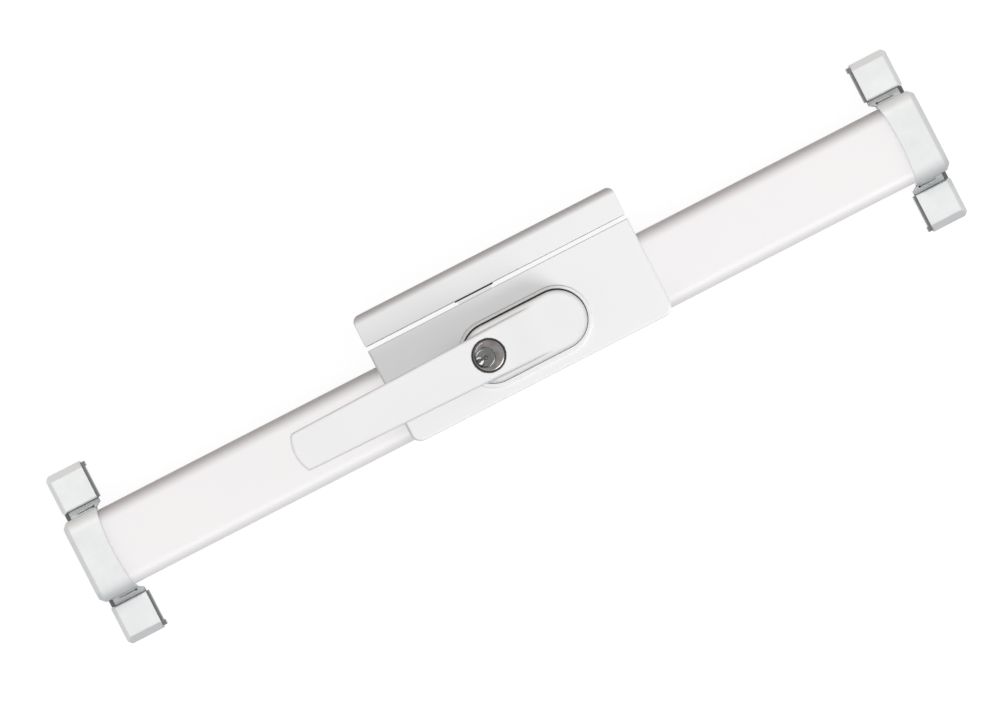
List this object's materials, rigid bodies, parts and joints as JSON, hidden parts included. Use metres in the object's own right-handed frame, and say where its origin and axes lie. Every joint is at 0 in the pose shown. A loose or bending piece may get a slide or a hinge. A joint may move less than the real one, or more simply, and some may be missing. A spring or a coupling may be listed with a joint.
{
  "type": "window bar lock",
  "caption": "White window bar lock with a turning key-locked handle that draws two side bars and a middle bolt out of their strikes.",
  "frame": {"origin": "the handle's axis on the back mounting plane, midway between the two handle fixing holes", "axes": "+X along the bars, +Y from the handle towards the middle strike, +Z away from the window"},
  "size_m": [0.4399, 0.0871, 0.046],
  "materials": {
    "white_cover": "satin white powder coat",
    "white_bar": "satin white powder coat on extruded aluminium",
    "white_handle": "smooth white lacquer",
    "white_end_piece": "white moulded, slightly glossy",
    "plated_steel": "zinc plated",
    "bolt_steel": "ground and nickel plated",
    "nylon": "natural moulded",
    "bush_metal": "sintered, turned",
    "dark_washer": "black",
    "nickel": "satin nickel",
    "plug_metal": "worn nickel over brass",
    "slide_brass": "stamped"
  },
  "bodies": {
    "root": {"base_plate": "plated_steel", "case_cover": "white_cover", "case_cover_screws": "plated_steel", "bar_guide_left": "nylon", "bar_guide_right": "nylon", "bolt_guide": "nylon", "bolt_guide_screws": "plated_steel", "rear_bush": "bush_metal", "front_bush": "bush_metal", "strike_bracket": "plated_steel", "strike_keeper": "bolt_steel", "strike_cover": "white_cover", "strike_cover_screws": "plated_steel", "left_end_bracket": "plated_steel", "left_end_hood": "white_end_piece", "left_end_cap_upper": "white_end_piece", "left_end_cap_lower": "white_end_piece", "right_end_bracket": "plated_steel", "right_end_hood": "white_end_piece", "right_end_cap_upper": "white_end_piece", "right_end_cap_lower": "white_end_piece"},
    "left_bar": {"left_bar": "white_bar", "left_rack": "plated_steel", "left_bar_tongue": "bolt_steel", "left_bar_rivets": "plated_steel"},
    "right_bar": {"right_bar": "white_bar", "right_rack": "plated_steel", "right_bar_tongue": "bolt_steel", "right_bar_rivets": "plated_steel"},
    "middle_bolt": {"middle_bolt": "bolt_steel"},
    "handle": {"handle_lever": "white_handle", "slide_washer": "dark_washer", "spring_washer": "plated_steel", "retaining_ring": "plated_steel", "drive_shaft": "plated_steel", "bar_pinion": "plated_steel", "cylinder_housing": "nickel"},
    "key_plug": {"key_plug": "plug_metal"},
    "lock_slide": {"lock_slide": "slide_brass"}
  },
  "joints": [
    {"name": "handle_turn", "type": "hinge", "parent": "root", "child": "handle", "pos_m": [0, 0, 0], "axis": [0, 0, 1], "range_deg": [0, 90]},
    {"name": "left_bar_slide", "type": "slide", "parent": "root", "child": "left_bar", "axis": [1, 0, 0], "range_m": [0, 0.01885]},
    {"name": "right_bar_slide", "type": "slide", "parent": "root", "child": "right_bar", "axis": [-1, 0, 0], "range_m": [0, 0.01885]},
    {"name": "middle_bolt_slide", "type": "slide", "parent": "root", "child": "middle_bolt", "axis": [0, -1, 0], "range_m": [0, 0.01179]},
    {"name": "key_turn", "type": "hinge", "parent": "handle", "child": "key_plug", "pos_m": [-0.0223, 0, 0.04], "axis": [0, 0, 1], "range_deg": [0, 90]},
    {"name": "lock_slide_travel", "type": "slide", "parent": "handle", "child": "lock_slide", "axis": [1, 0, 0], "range_m": [0, 0.00312]}
  ],
  "couplings": [
    {"joint": "left_bar_slide", "follows": "handle_turn", "m_per_rad": 0.012},
    {"joint": "right_bar_slide", "follows": "handle_turn", "m_per_rad": 0.012},
    {"joint": "middle_bolt_slide", "follows": "handle_turn", "m_per_rad": 0.0075},
    {"joint": "lock_slide_travel", "follows": "key_turn", "m_per_rad": 0.0019807}
  ]
}
